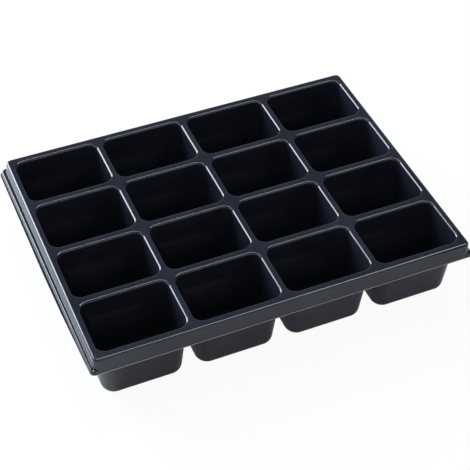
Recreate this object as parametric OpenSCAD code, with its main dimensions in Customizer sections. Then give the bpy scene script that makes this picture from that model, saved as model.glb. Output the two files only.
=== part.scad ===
// Sixteen-compartment display tray, drawn down from one sheet of glossy plastic.
// The sheet is divided along its natural form lines: a flat deck, the skirt round it,
// a stepped ledge on each side, the trimmed flange, and one node for each well.
// Millimetres, +Z up, origin under the middle of the tray on the surface it stands on.

/* [Layout] */
// Wells side by side, along X
cols = 4; // [2:1:6]
// Wells from front to back, along Y
rows = 4; // [2:1:6]
// Length of a well's mouth along X, wall to wall at deck height
well_w = 68; // [40:1:110]
// Width of a well's mouth along Y, wall to wall at deck height
well_d = 48; // [40:1:110]
// Land between two wells side by side
web_x = 5; // [4.2:0.1:12]
// Land between two wells one behind the other
web_y = 6.6; // [4.2:0.1:12]
// Height of the deck above the surface the tray stands on
tray_h = 56; // [40:1:76]
// Thickness of the formed sheet
sheet = 1; // [0.8:0.1:1.4]

/* [Wells] */
// Draft of the well walls, in degrees
well_draft = 4; // [2:0.5:6]
// Corner radius of a well's mouth, seen from above
mouth_r = 9; // [9:0.5:14]
// Radius of the rounded edge between the deck and a well
lip_r = 1.6; // [1.5:0.1:2]
// Inside radius between a well's walls and its floor
floor_r = 4.6; // [2:0.2:6]

/* [Skirt] */
// Draft of the skirt, in degrees
skirt_draft = 7; // [3:0.5:10]
// Radius of the rounded edge between the deck and the skirt
rim_r = 1.8; // [1.5:0.1:3]
// Corner radius of the rim, seen from above
rim_corner_r = 4; // [3.5:0.5:8]
// Width of the trimmed flange in front and behind
lip_w = 0.6; // [0.4:0.1:3]

/* [Side ledges] */
// Depth of the side ledges below the deck
ledge_drop = 9.5; // [4:0.5:16]
// Depth of the step from a ledge down to the underside of the flange
ledge_step = 4.3; // [3.4:0.1:10]
// Width of the flat ledge on each side
ledge_w = 2.4; // [1.5:0.1:8]
// Corner radius of the ledges, seen from above
ledge_corner_r = 3; // [2.5:0.5:4]
// Width of the trimmed flange on each side
flange_w = 1.8; // [1:0.1:8]
// Corner radius of the flange, seen from above
flange_corner_r = 4; // [3:0.5:5]

/* [Hidden] */
$fn = 96;

// Wells are numbered from the front left: row 1 is in front, column 1 on the left.
function well_name(r, c) = str("well_r", r, "c", c);
WELLS = [for (r = [1:rows], c = [1:cols]) well_name(r, c)];

gloss_black = [0.07, 0.075, 0.09];

pitch_x = well_w + web_x;
pitch_y = well_d + web_y;
function well_x(c) = (c - (cols + 1) / 2) * pitch_x;
function well_y(r) = (r - (rows + 1) / 2) * pitch_y;

// The land outside the outer wells is as wide as the land between them.
deck_w = cols * pitch_x + web_x;
deck_d = rows * pitch_y + web_y;

// A drafted wall leans by this much for each millimetre of depth.
well_lean = tan(well_draft);
skirt_lean = tan(skirt_draft);

// Level thickness of the sheet where it stands in a drafted wall
skirt_wall = sheet / cos(skirt_draft);

// A rounded edge leaves the deck at this distance from the axis of a plan corner.
lip_x = mouth_r + lip_r * (1 - sin(well_draft)) / cos(well_draft);
rim_x = rim_corner_r - rim_r * (1 - sin(skirt_draft)) / cos(skirt_draft);

// The rounded foot of a well can't be larger than what the draft leaves of its corner.
foot_r = min(floor_r, mouth_r - well_lean * tray_h);
foot_z = foot_r + sheet - tray_h;
foot_x = mouth_r + foot_z * well_lean - foot_r / cos(well_draft);

// Straight runs of each outline, between the axes of its rounded corners
well_run = [well_w - 2 * mouth_r, well_d - 2 * mouth_r];
rim_run = [deck_w - 2 * rim_corner_r, deck_d - 2 * rim_corner_r];

// The base under the ledges is wider than the rim by the walls' lean and by both ledges.
base_w = deck_w + 2 * (ledge_drop * skirt_lean + ledge_w);
base_d = deck_d + 2 * ledge_drop * skirt_lean;
base_run = [base_w - 2 * ledge_corner_r, base_d - 2 * ledge_corner_r];
skirt_h = ledge_drop + ledge_step;

// The flange turns outwards from the foot of the base.
flange_run = [
    base_w + 2 * (ledge_step * skirt_lean + flange_w - flange_corner_r),
    base_d + 2 * (ledge_step * skirt_lean + lip_w - flange_corner_r)
];

// ---- sections of the sheet: X outwards from a corner's axis, Y height above the deck ----

// The sheet bent round the origin, with its inner face at radius r, between two directions
module bend(r, from, to) {
    far = 2 * (r + sheet);
    intersection() {
        difference() {
            circle(r + sheet);
            circle(r);
        }
        rotate(from) translate([-far, 0]) square([2 * far, far]);
        rotate(to) translate([-far, -far]) square([2 * far, far]);
    }
}

// Floor, rounded foot, drafted wall and rolled edge of a well, each drawn from where the last ends
module well_section() {
    rise = [lip_x - foot_x, -lip_r - foot_z];
    wall = rise * [sin(well_draft), cos(well_draft)];
    translate([0, foot_z]) translate([0, -foot_r - sheet]) square([foot_x, sheet]);
    translate([foot_x, foot_z]) {
        bend(foot_r, -90, -well_draft);
        rotate(-well_draft) {
            translate([foot_r, 0]) square([sheet, wall]);
            translate([foot_r + lip_r, wall]) bend(lip_r - sheet, 90 + well_draft, 180);
        }
    }
}

// Length of the skirt's outer face from the rounded rim down to a depth
function skirt_face(depth) = (depth - rim_r * (1 - sin(skirt_draft))) / cos(skirt_draft);

// Rounded rim of the skirt
module rim_section() {
    translate([rim_x, -rim_r]) bend(rim_r - sheet, skirt_draft, 90);
}

// Drafted wall of the skirt between two depths, whose lower edge is level
module skirt_section(from, to) {
    top = from > 0 ? skirt_face(from) : 0;
    foot = skirt_face(to);
    level = sheet * skirt_lean;
    inner = rim_r - sheet;
    translate([rim_x, -rim_r]) rotate(skirt_draft)
        polygon([[inner, from > 0 ? level - top : 0], [rim_r, -top], [rim_r, -foot], [inner, level - foot]]);
}

// ---- plans and sweeps ----

// The corners of an outline, each with the turn that points X outwards from the side before it
ENDS = [[1, 1], [-1, 1], [-1, -1], [1, -1]];

// A flat rounded rectangle with corners of radius r round the ends of its runs
module plan(run, r) {
    square(run, center = true);
    for (i = [0:3]) translate([ENDS[i][0] * run[0] / 2, ENDS[i][1] * run[1] / 2]) {
        side = run[(i + 1) % 2];
        circle(r);
        rotate(90 * i) translate([0, -side]) square([r, side]);
    }
}

// Turns a section round the four corners of an outline
module corners(run) {
    for (i = [0:3]) translate([ENDS[i][0] * run[0] / 2, ENDS[i][1] * run[1] / 2, 0])
        rotate([0, 0, 90 * i]) rotate_extrude(angle = 90) children();
}

// Carries a section along the two sides of an outline
module side_runs(run) {
    for (a = [0, 180]) rotate([0, 0, a]) translate([run[0] / 2, run[1] / 2, 0])
        rotate([90, 0, 0]) linear_extrude(run[1]) children();
}

// Carries a section along the front and the back of an outline
module end_runs(run) {
    for (a = [0, 180]) rotate([0, 0, a]) translate([-run[0] / 2, run[1] / 2, 0])
        rotate([90, 0, 90]) linear_extrude(run[0]) children();
}

module sweep(run) {
    corners(run) children();
    side_runs(run) children();
    end_runs(run) children();
}

// A solid block that widens downwards from its top with the skirt's draft
module drafted_block(run, r, top, depth) {
    translate([0, 0, top]) {
        sweep(run) polygon([[0, 0], [r, 0], [r + depth * skirt_lean, -depth], [0, -depth]]);
        translate([-run[0] / 2, -run[1] / 2, -depth]) cube([run[0], run[1], depth]);
    }
}

// ---- sub-parts, drawn with the deck's top at zero ----

module deck_sheet() {
    translate([0, 0, -sheet]) linear_extrude(sheet) difference() {
        plan(rim_run, rim_x);
        for (r = [1:rows], c = [1:cols]) translate([well_x(c), well_y(r)])
            plan(well_run, lip_x);
    }
}

// The skirt is whole in front and behind; at its sides it ends on the ledges.
module skirt_sheet() {
    side_h = ledge_drop + sheet;
    sweep(rim_run) {
        rim_section();
        skirt_section(0, side_h);
    }
    end_runs(rim_run) skirt_section(side_h, skirt_h);
}

// Ledge and step all round, as a shell; the skirt's own volume is taken out of it.
module base_shell() {
    inner_r = ledge_corner_r + sheet * skirt_lean - skirt_wall;
    difference() {
        drafted_block(base_run, ledge_corner_r, -ledge_drop, ledge_step);
        drafted_block(base_run, inner_r, -ledge_drop - sheet, ledge_step - sheet);
        drafted_block(rim_run, rim_corner_r, 0, ledge_drop + sheet);
    }
}

// The part of the base that lies outside the skirt's straight front, on one side
module ledge_sheet(side) {
    reach = flange_run[0];
    intersection() {
        base_shell();
        translate([side > 0 ? rim_run[0] / 2 : -rim_run[0] / 2 - reach, -base_d, -skirt_h])
            cube([reach, 2 * base_d, ledge_step]);
    }
}

module flange_sheet() {
    difference() {
        translate([0, 0, -skirt_h]) linear_extrude(sheet) plan(flange_run, flange_corner_r);
        drafted_block(base_run, ledge_corner_r, -ledge_drop, ledge_step);
    }
}

module well_sheet() {
    sweep(well_run) well_section();
    translate([-well_run[0] / 2, -well_run[1] / 2, foot_z]) translate([0, 0, -foot_r - sheet])
        cube([well_run[0], well_run[1], sheet]);
}

// ---- nodes, standing on the ground ----

module deck() color(gloss_black) translate([0, 0, tray_h]) deck_sheet();
module skirt() color(gloss_black) translate([0, 0, tray_h]) skirt_sheet();
module left_ledge() color(gloss_black) translate([0, 0, tray_h]) ledge_sheet(-1);
module right_ledge() color(gloss_black) translate([0, 0, tray_h]) ledge_sheet(1);
module flange() color(gloss_black) translate([0, 0, tray_h]) flange_sheet();
module well(r, c) color(gloss_black) translate([well_x(c), well_y(r), tray_h]) well_sheet();

deck();
skirt();
left_ledge();
right_ledge();
flange();
for (r = [1:rows], c = [1:cols])
    well(r, c);
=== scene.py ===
# A compartment tray: sixteen deep wells, a shallow skirt and a stepped ledge on each side,
# all drawn down from one sheet of glossy black plastic.
import math
import bmesh
import bpy
from mathutils import Euler, Matrix, Quaternion, Vector


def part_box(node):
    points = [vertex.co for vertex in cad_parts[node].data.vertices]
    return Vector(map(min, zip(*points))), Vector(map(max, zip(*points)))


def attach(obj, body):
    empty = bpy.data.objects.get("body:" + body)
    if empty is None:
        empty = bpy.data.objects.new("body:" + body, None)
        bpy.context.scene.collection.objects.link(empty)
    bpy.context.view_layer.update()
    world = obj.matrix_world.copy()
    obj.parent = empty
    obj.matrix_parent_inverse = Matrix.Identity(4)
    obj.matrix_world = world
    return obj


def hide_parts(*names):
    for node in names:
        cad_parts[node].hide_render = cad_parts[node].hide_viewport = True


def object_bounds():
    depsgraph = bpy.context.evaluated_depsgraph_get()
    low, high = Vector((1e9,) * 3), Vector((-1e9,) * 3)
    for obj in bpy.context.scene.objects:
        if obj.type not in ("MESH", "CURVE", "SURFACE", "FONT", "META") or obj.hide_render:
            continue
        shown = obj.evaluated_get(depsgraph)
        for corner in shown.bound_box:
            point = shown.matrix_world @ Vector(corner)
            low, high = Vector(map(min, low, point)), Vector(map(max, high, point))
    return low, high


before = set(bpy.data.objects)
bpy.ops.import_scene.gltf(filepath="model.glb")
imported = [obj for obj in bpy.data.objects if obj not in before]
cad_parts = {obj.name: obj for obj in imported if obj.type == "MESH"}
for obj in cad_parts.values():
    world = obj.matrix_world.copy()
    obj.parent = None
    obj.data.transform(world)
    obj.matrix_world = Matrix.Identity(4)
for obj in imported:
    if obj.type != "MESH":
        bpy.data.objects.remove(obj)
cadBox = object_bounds()
scene = bpy.context.scene
scene.view_settings.view_transform = "Standard"

wellNodes = sorted(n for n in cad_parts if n.startswith("well"))
skirtNodes = ["deck", "skirt", "left_ledge", "right_ledge", "flange"]
touching = 1e-6    # two points nearer than this are taken as one
slack = 1e-5       # how far a point may be above a level and still count as at it


def halfSize(node):
    low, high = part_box(node)
    return (high - low) / 2


def nodeMiddle(node):
    low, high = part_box(node)
    return (high + low) / 2


# A ring is a level rounded rectangle: half length, half width, corner radius and height.

def cornerCentre(ring, side):
    halfX, halfY, radius, z = ring
    return Vector((side[0] * (halfX - radius), side[1] * (halfY - radius), z))


def startRing(bm, ring, steps):
    halfX, halfY, radius, z = ring
    verts = bmesh.ops.create_grid(bm, x_segments=1, y_segments=1, size=1)["verts"]
    bmesh.ops.scale(bm, vec=(halfX, halfY, 1), verts=verts)
    bmesh.ops.translate(bm, vec=(0, 0, z), verts=verts)
    bmesh.ops.bevel(bm, geom=verts, affect="VERTICES", offset=radius, segments=steps,
                    profile=0.5, material=-1)
    bmesh.ops.delete(bm, geom=bm.faces[:], context="FACES_ONLY")
    return bm.edges[:]


def nextRing(bm, loop, old, new):
    grown = bmesh.ops.extrude_edge_only(bm, edges=loop)["geom"]
    verts = {g for g in grown if isinstance(g, bmesh.types.BMVert)}
    size = new[2] / old[2]
    for side in ((1, 1), (-1, 1), (-1, -1), (1, -1)):
        corner = [v for v in verts if v.co.x * side[0] > 0 and v.co.y * side[1] > 0]
        move = (Matrix.Translation(cornerCentre(new, side)) @ Matrix.Diagonal((size, size, 1, 1))
                @ Matrix.Translation(-cornerCentre(old, side)))
        bmesh.ops.transform(bm, matrix=move, verts=corner)
    return [g for g in grown if isinstance(g, bmesh.types.BMEdge) and verts.issuperset(g.verts)]


def drawRings(bm, rings, steps):
    loop = startRing(bm, rings[0], steps)
    for old, new in zip(rings, rings[1:]):
        loop = nextRing(bm, loop, old, new)
    return loop


def bendRun(radius, draft):
    # how far a rounded edge reaches from the line where its two flat sides would meet
    return radius * (1 - math.sin(draft)) / math.cos(draft)


def bendSteps(draft, steps):
    # the angles along a bend from level to a drafted wall
    return [(math.pi / 2 - draft) * i / steps for i in range(steps + 1)]


well = {
    "draft": math.radians(4),
    "lip": 0.0019,          # rounded edge from the deck into the well
    "lipSteps": 7,
    "foot": 0.006,          # inside radius between wall and floor
    "footSteps": 9,
    "mouthCorner": 0.0075,  # plan radius of the corners, at the mouth and at the foot
    "footCorner": 0.0093,
    "cornerSteps": 12,
    "wallShares": (0.25, 0.5, 0.75),    # where the wall has rings between its lip and its foot
    "sheet": 0.001,
}


def wellRings(node):
    w = well
    half = halfSize(node)
    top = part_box(node)[1].z
    lean = math.tan(w["draft"])
    lipRun = bendRun(w["lip"], w["draft"])
    footRun = bendRun(w["foot"], w["draft"])
    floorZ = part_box(node)[0].z + w["sheet"]
    depth = top - floorZ
    mouthX, mouthY = half.x - lipRun, half.y - lipRun
    rings = []

    def add(inset, down, corner):
        rings.append((mouthX - inset, mouthY - inset, corner, top - down))

    for a in bendSteps(w["draft"], w["lipSteps"]):
        inset = w["lip"] * math.sin(a) - lipRun
        add(inset, w["lip"] * (1 - math.cos(a)), w["mouthCorner"] - inset)
    # the corners open out a little on the way down
    footDown = depth - w["foot"] * (1 - math.sin(w["draft"]))
    wallTop = rings[-1]
    wallEnd = w["footCorner"]
    for share in w["wallShares"]:
        down = (top - wallTop[3]) * (1 - share) + footDown * share
        add(lean * down, down, wallTop[2] * (1 - share) + wallEnd * share)
    for a in bendSteps(w["draft"], w["footSteps"]):
        b = a + w["draft"]
        inset = lean * depth + footRun - w["foot"] * math.cos(b)
        add(inset, depth - w["foot"] * (1 - math.sin(b)), wallEnd - (inset - lean * footDown))
    return rings


def makeWell(node):
    bm = bmesh.new()
    loop = drawRings(bm, wellRings(node), well["cornerSteps"])
    bmesh.ops.edgeloop_fill(bm, edges=loop)
    mesh = bpy.data.meshes.new("wellForm")
    bm.to_mesh(mesh)
    bm.free()
    return mesh


skirt = {
    "draft": math.radians(7),
    "rim": 0.0018,          # rounded edge from the deck to the skirt
    "rimCorner": 0.004,
    "ledgeCorner": 0.003,
    "flangeCorner": 0.004,
    "ledgeFall": 0.0001,
    "ledgeHollow": 0.0002,  # hollow radius where the wall meets the ledge
    "ledgeEdge": 0.0009,    # rounded outer edge of the ledge
    "flangeHollow": 0.0002,
    "flangeFall": 0.00005,
    "hollowSteps": 4,
    "ledgeSkew": 0.0065,    # the ledges widen by this share of the way to the back
    "drawIn": [-0.005, -0.05],    # from here to the front the side flanges draw in, in two stages
    "drawInBy": [0.0015, 0.0008],
    "lipSlim": 0.0003,      # how much slimmer the lip in front is than the flange's box
    "footRise": 0.0009,     # how much higher the front is trimmed than the sides
    "steps": 7,
    "cornerSteps": 12,
}


def between(value, start, end):
    # how much of the way from start to end a value has come, from 0 to 1
    return min(1, max(0, (value - start) / (end - start)))


def easeBase(bm):
    # the ledges widen to the back, and to the front the flange draws in and the trimmed foot rises
    s = skirt
    lean = math.tan(s["draft"])
    flangeLow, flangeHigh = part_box("flange")
    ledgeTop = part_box("left_ledge")[1].z
    footTop = flangeHigh.z + s["flangeHollow"]
    cornerY = flangeLow.y + s["flangeCorner"]
    for start in s["drawIn"]:
        base = [f for f in bm.faces if all(v.co.z < ledgeTop + slack for v in f.verts)]
        parts = {*base, *(e for f in base for e in f.edges), *(v for f in base for v in f.verts)}
        bmesh.ops.bisect_plane(bm, geom=list(parts), dist=touching,
                               plane_co=(0, start, 0), plane_no=(0, 1, 0))
    for vert in bm.verts:
        x, y, z = vert.co
        if z > ledgeTop + slack:
            continue
        side = -1 if x < 0 else 1
        trimmed = any(e.is_boundary for e in vert.link_edges)
        if z < ledgeTop - s["ledgeFall"] / 2 and not trimmed:
            vert.co.x += side * s["ledgeSkew"] * y
        if z < footTop + slack:
            rise = s["footRise"] * between(y, s["drawIn"][0], cornerY)
            inFront = between(y, cornerY, flangeLow.y)
            vert.co.z += rise
            vert.co.y += lean * rise * inFront
            if trimmed:
                vert.co.y += s["lipSlim"] * inFront
                for start, by in zip(s["drawIn"], s["drawInBy"]):
                    vert.co.x -= side * by * between(y, start, cornerY)
    # the slim lip in front takes the pale cut-edge colour on its top: a painted highlight along the
    # foot of the skirt
    for face in bm.faces:
        middle = face.calc_center_median()
        paintedHighlightZone = middle.y < cornerY and abs(middle.x) < flangeHigh.x - s["flangeCorner"]
        if paintedHighlightZone and any(e.is_boundary for e in face.edges):
            face.material_index = 1


def skirtRings():
    s = skirt
    d = s["draft"]
    lean = math.tan(d)
    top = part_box("deck")[1].z
    rimRun = bendRun(s["rim"], d)
    rimX, rimY = halfSize("deck").x + rimRun, halfSize("deck").y + rimRun
    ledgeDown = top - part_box("left_ledge")[1].z
    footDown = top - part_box("flange")[1].z
    flangeX, flangeY = halfSize("flange").x - rimX, halfSize("flange").y - rimY
    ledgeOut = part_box("right_ledge")[1].x - rimX - lean * (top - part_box("flange")[0].z - ledgeDown)
    rings = []

    def add(out, outY, down, corner):
        rings.append((rimX + out, rimY + outY, corner, top - down))

    for a in bendSteps(d, s["steps"]):
        out = s["rim"] * math.sin(a) - rimRun
        add(out, out, s["rim"] * (1 - math.cos(a)), s["rimCorner"] + out)
    # from here down the front and the back stay one flat wall, and only the sides are stepped
    wallCorner = s["rimCorner"] + lean * ledgeDown
    hollow, edge = s["ledgeHollow"], s["ledgeEdge"]
    middle = lean * ledgeDown + bendRun(hollow, d)
    start = len(rings)
    for a in bendSteps(d, s["hollowSteps"]):
        b = a + d
        down = ledgeDown - hollow * (1 - math.sin(b))
        add(middle - hollow * math.cos(b), lean * down, down, 0)
    middle = ledgeOut - bendRun(edge, d)
    edgeTop = ledgeDown + s["ledgeFall"]
    for a in bendSteps(d, s["steps"]):
        down = edgeTop + edge * (1 - math.cos(a)) + touching
        add(middle + edge * math.sin(a), lean * down, down, 0)
    # the corner radius turns from the wall's into the ledge's on the way out
    inner, outer = rings[start][0], rings[-1][0]
    for i in range(start, len(rings)):
        x, y, _, z = rings[i]
        share = (x - inner) / (outer - inner)
        rings[i] = (x, y, wallCorner * (1 - share) + s["ledgeCorner"] * share, z)
    hollow = s["flangeHollow"]
    wall = ledgeOut + lean * (footDown - edgeTop)
    for a in bendSteps(d, s["hollowSteps"]):
        b = a + d
        down = footDown - hollow * (1 - math.sin(b))
        bulge = bendRun(hollow, d) - hollow * math.cos(b)
        corner = s["ledgeCorner"] + lean * (down - ledgeDown) + bulge
        add(wall + bulge, lean * footDown + bulge, down, corner)
    add(flangeX, flangeY, footDown + s["flangeFall"], s["flangeCorner"])
    return rings


sheetEdge = {
    "round": 0.00012,    # the cut edge is barely rounded
    "steps": 2,
    "angle": math.radians(60),
}


def makeForm():
    bm = bmesh.new()
    drawRings(bm, skirtRings(), skirt["cornerSteps"])
    easeBase(bm)
    form = makeWell(wellNodes[0])
    for node in wellNodes:
        already = set(bm.verts)
        bm.from_mesh(form)
        added = [v for v in bm.verts if v not in already]
        middle = nodeMiddle(node)
        bmesh.ops.translate(bm, vec=(middle.x, middle.y, 0), verts=added)
    # the deck fills what is left between the rim and the wells' mouths
    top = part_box("deck")[1].z
    rims = [e for e in bm.edges
            if e.is_boundary and all(abs(v.co.z - top) < touching for v in e.verts)]
    bmesh.ops.triangle_fill(bm, use_beauty=True, use_dissolve=False, edges=rims, normal=(0, 0, 1))
    bmesh.ops.recalc_face_normals(bm, faces=bm.faces[:])
    deck = max(bm.faces, key=lambda f: f.calc_center_median().z)
    if deck.normal.z < 0:
        bmesh.ops.reverse_faces(bm, faces=bm.faces[:])
    for face in bm.faces:
        face.smooth = True
    mesh = bpy.data.meshes.new("formedSheet")
    bm.to_mesh(mesh)
    bm.free()
    return mesh


def makeTray():
    tray = bpy.data.objects.new("formedSheet", makeForm())
    scene.collection.objects.link(tray)
    wall = tray.modifiers.new("thickness", "SOLIDIFY")
    wall.thickness = well["sheet"]
    wall.offset = -1
    wall.use_even_offset = True
    wall.use_quality_normals = True
    wall.material_offset_rim = 1
    cut = tray.modifiers.new("cutEdge", "BEVEL")
    cut.width = sheetEdge["round"]
    cut.segments = sheetEdge["steps"]
    cut.limit_method = "ANGLE"
    cut.angle_limit = sheetEdge["angle"]
    shade = tray.modifiers.new("shading", "WEIGHTED_NORMAL")
    shade.keep_sharp = True
    shade.weight = 100
    return tray


def link(tree, source, target):
    tree.links.new(source, target)


def addNode(tree, kind, **values):
    node = tree.nodes.new(kind)
    for name, value in values.items():
        node.inputs[name.replace("_", " ")].default_value = value
    return node


def addMath(tree, operation, first, second):
    node = tree.nodes.new("ShaderNodeMath")
    node.operation = operation
    link(tree, first, node.inputs[0])
    if isinstance(second, float):
        node.inputs[1].default_value = second
    else:
        link(tree, second, node.inputs[1])
    return node.outputs[0]


def addNoise(tree, place, scale, detail, roughness):
    noise = addNode(tree, "ShaderNodeTexNoise", Scale=scale, Detail=detail, Roughness=roughness)
    link(tree, place, noise.inputs["Vector"])
    return noise.outputs["Fac"]


def addBump(tree, height, strength, distance):
    bump = addNode(tree, "ShaderNodeBump", Strength=strength, Distance=distance)
    link(tree, height, bump.inputs["Height"])
    return bump


def addTint(tree, share, colours, span):
    tint = tree.nodes.new("ShaderNodeValToRGB")
    for stop, place, colour in zip(tint.color_ramp.elements, span, colours):
        stop.position = place
        stop.color = colour
    link(tree, share, tint.inputs["Fac"])
    return tint.outputs["Color"]


def startFinish(name):
    mat = bpy.data.materials.new(name)
    mat.use_nodes = True
    tree = mat.node_tree
    place = tree.nodes.new("ShaderNodeTexCoord").outputs["Object"]
    return mat, tree, tree.nodes["Principled BSDF"], place


glossBlack = {
    "colours": [(0.0105, 0.012, 0.0185, 1), (0.0155, 0.018, 0.027, 1)],
    "tintSpan": (0.35, 0.65),
    "roughness": (0.07, 0.12),
    "roughSpan": (0.3, 0.7),
    "dull": 0.25,     # how much of the gloss is lost where the sheet is drawn deepest
    "dullFrom": 0.042,
    "dullTo": 0.015,
    "patches": 23,    # broad changes of tint and gloss
    "waves": 55,      # slow waves left in the sheet by forming
    "waveBump": (0.25, 0.0004),
    "grain": 1100,    # fine orange peel
    "grainBump": (0.05, 0.00005),
}


def glossBlackFinish():
    g = glossBlack
    mat, tree, shader, place = startFinish("glossBlackSheet")
    shader.inputs["IOR"].default_value = 1.5
    waves = addNoise(tree, place, g["waves"], 2, 0.45)
    grain = addNoise(tree, place, g["grain"], 2, 0.5)
    patches = addNoise(tree, place, g["patches"], 4, 0.6)
    tint = addTint(tree, patches, g["colours"], g["tintSpan"])
    link(tree, tint, shader.inputs["Base Color"])
    rough = addNode(tree, "ShaderNodeMapRange", From_Min=g["roughSpan"][0],
                    From_Max=g["roughSpan"][1], To_Min=g["roughness"][0],
                    To_Max=g["roughness"][1])
    link(tree, patches, rough.inputs["Value"])
    height = tree.nodes.new("ShaderNodeSeparateXYZ")
    link(tree, place, height.inputs[0])
    drawn = addNode(tree, "ShaderNodeMapRange", From_Min=g["dullFrom"], From_Max=g["dullTo"],
                    To_Min=0, To_Max=g["dull"])
    link(tree, height.outputs["Z"], drawn.inputs["Value"])
    dulled = addMath(tree, "ADD", rough.outputs["Result"], drawn.outputs["Result"])
    link(tree, dulled, shader.inputs["Roughness"])
    slow = addBump(tree, waves, *g["waveBump"])
    fine = addBump(tree, grain, *g["grainBump"])
    link(tree, slow.outputs["Normal"], fine.inputs["Normal"])
    link(tree, fine.outputs["Normal"], shader.inputs["Normal"])
    return mat


# pale grey of the sheet's cut edge; the same colours are painted on the front lip's top as a painted
# highlight line along the skirt's foot
cutEdge = {
    "colours": [(0.14, 0.143, 0.15, 1), (0.32, 0.325, 0.34, 1)],
    "roughness": 0.42,
    "marks": 2600,    # fine marks of the cutter
    "markBump": (0.3, 0.0001),
}


def cutEdgeAndPaintedHighlightFinish():
    mat, tree, shader, place = startFinish("cutEdge")
    marks = addNoise(tree, place, cutEdge["marks"], 3, 0.6)
    link(tree, addTint(tree, marks, cutEdge["colours"], (0, 1)), shader.inputs["Base Color"])
    shader.inputs["Roughness"].default_value = cutEdge["roughness"]
    bump = addBump(tree, marks, *cutEdge["markBump"])
    link(tree, bump.outputs["Normal"], shader.inputs["Normal"])
    return mat


tray = makeTray()
tray.data.materials.append(glossBlackFinish())
tray.data.materials.append(cutEdgeAndPaintedHighlightFinish())
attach(tray, "root")
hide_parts(*skirtNodes, *wellNodes)
print("tray:", len(tray.data.polygons), "faces before thickness")

stage = {
    "floorSize": 8,
    "floorGap": 0.0003,
    "floorColour": (0.8, 0.8, 0.8, 1),
    "lift": 0.94,        # share of plain white in the floor and the room that eyes see
    "shineLift": 0.12,   # the same for the floor that gloss and glass show
    "roomShine": 0.03,   # and for the room
    "room": [(0, 0.62), (0.5, 0.19), (0.75, 0.09), (1, 0.04)],    # light from horizon to overhead
    "roomColour": (0.86, 0.92, 1, 1),
}


def liftSeen(tree, shineLift, plain, white, target):
    # white for the eye and a little in gloss and glass, and plain for the light it gives
    rays = tree.nodes.new("ShaderNodeLightPath").outputs
    shine = addMath(tree, "MAXIMUM", rays["Is Glossy Ray"], rays["Is Transmission Ray"])
    shine = addMath(tree, "MULTIPLY", shine, shineLift)
    eye = addMath(tree, "MULTIPLY", rays["Is Camera Ray"], stage["lift"])
    both = tree.nodes.new("ShaderNodeMixShader")
    link(tree, addMath(tree, "MAXIMUM", eye, shine), both.inputs[0])
    link(tree, plain.outputs[0], both.inputs[1])
    link(tree, white.outputs[0], both.inputs[2])
    link(tree, both.outputs[0], target.inputs["Surface"])


def makeFloor():
    bm = bmesh.new()
    bmesh.ops.create_grid(bm, x_segments=8, y_segments=8, size=stage["floorSize"] / 2)
    bmesh.ops.translate(bm, vec=(0, 0, cadBox[0].z - stage["floorGap"]), verts=bm.verts[:])
    mesh = bpy.data.meshes.new("floor")
    bm.to_mesh(mesh)
    bm.free()
    floor = bpy.data.objects.new("floor", mesh)
    scene.collection.objects.link(floor)
    mat = bpy.data.materials.new("paleFloor")
    mat.use_nodes = True
    tree = mat.node_tree
    tree.nodes.remove(tree.nodes["Principled BSDF"])
    body = addNode(tree, "ShaderNodeBsdfDiffuse", Color=stage["floorColour"])
    glow = addNode(tree, "ShaderNodeEmission", Color=(1, 1, 1, 1), Strength=1)
    liftSeen(tree, stage["shineLift"], body, glow, tree.nodes["Material Output"])
    floor.data.materials.append(mat)
    return floor


def makeBackdrop():
    # a plain room, pale at the horizon and dimmer overhead
    world = bpy.data.worlds.new("studio")
    scene.world = world
    world.use_nodes = True
    tree = world.node_tree
    plain = tree.nodes["Background"]
    plain.inputs["Color"].default_value = stage["roomColour"]
    height = tree.nodes.new("ShaderNodeSeparateXYZ")
    link(tree, tree.nodes.new("ShaderNodeTexCoord").outputs["Generated"], height.inputs[0])
    room = tree.nodes.new("ShaderNodeValToRGB")
    stops = room.color_ramp.elements
    for place, level in stage["room"][1:-1]:
        stops.new(place)
    for stop, (place, level) in zip(stops, stage["room"]):
        stop.color = (level, level, level, 1)
    link(tree, height.outputs["Z"], room.inputs["Fac"])
    link(tree, room.outputs["Color"], plain.inputs["Strength"])
    white = addNode(tree, "ShaderNodeBackground", Color=(1, 1, 1, 1), Strength=1)
    liftSeen(tree, stage["roomShine"], plain, white, tree.nodes["World Output"])


def softbox(name, place, size, radiance, colour, roll=0):
    data = bpy.data.lights.new(name, "AREA")
    data.shape = "RECTANGLE"
    data.size, data.size_y = size
    data.energy = radiance * math.pi * size[0] * size[1]
    data.color = colour
    lamp = bpy.data.objects.new(name, data)
    lamp.location = place
    facing = (nodeMiddle("deck") - Vector(place)).to_track_quat("-Z", "Y")
    lamp.rotation_euler = (facing @ Quaternion((0, 0, 1), math.radians(roll))).to_euler()
    lamp.visible_camera = False
    scene.collection.objects.link(lamp)


floor = makeFloor()
makeBackdrop()
softbox("backLeft", place=(-1.48, 2.43, 1.25), size=(1.83, 2.4), radiance=14.8,
        colour=(0.82, 0.9, 1), roll=18)
softbox("overhead", place=(0.65, 0.85, 2.5), size=(2.0, 0.6), radiance=10, colour=(0.9, 0.95, 1))
softbox("left", place=(-0.95, 0.3, 0.85), size=(0.6, 0.6), radiance=2.5, colour=(0.9, 0.95, 1))
softbox("front", place=(-0.05, -1.4, 1.3), size=(2.0, 0.8), radiance=1.7, colour=(0.92, 0.96, 1))

view = {
    "place": (-0.2777, -0.6577, 0.7312),
    "turn": (45.057, -0.307, -22.895),
    "lens": 96.87,
    "sensor": 36,
}
camera = bpy.data.objects.new("camera", bpy.data.cameras.new("camera"))
camera.data.lens = view["lens"]
camera.data.sensor_width = view["sensor"]
camera.location = view["place"]
camera.rotation_euler = Euler([math.radians(a) for a in view["turn"]])
scene.collection.objects.link(camera)
scene.camera = camera
print("stage, light and camera are in place")
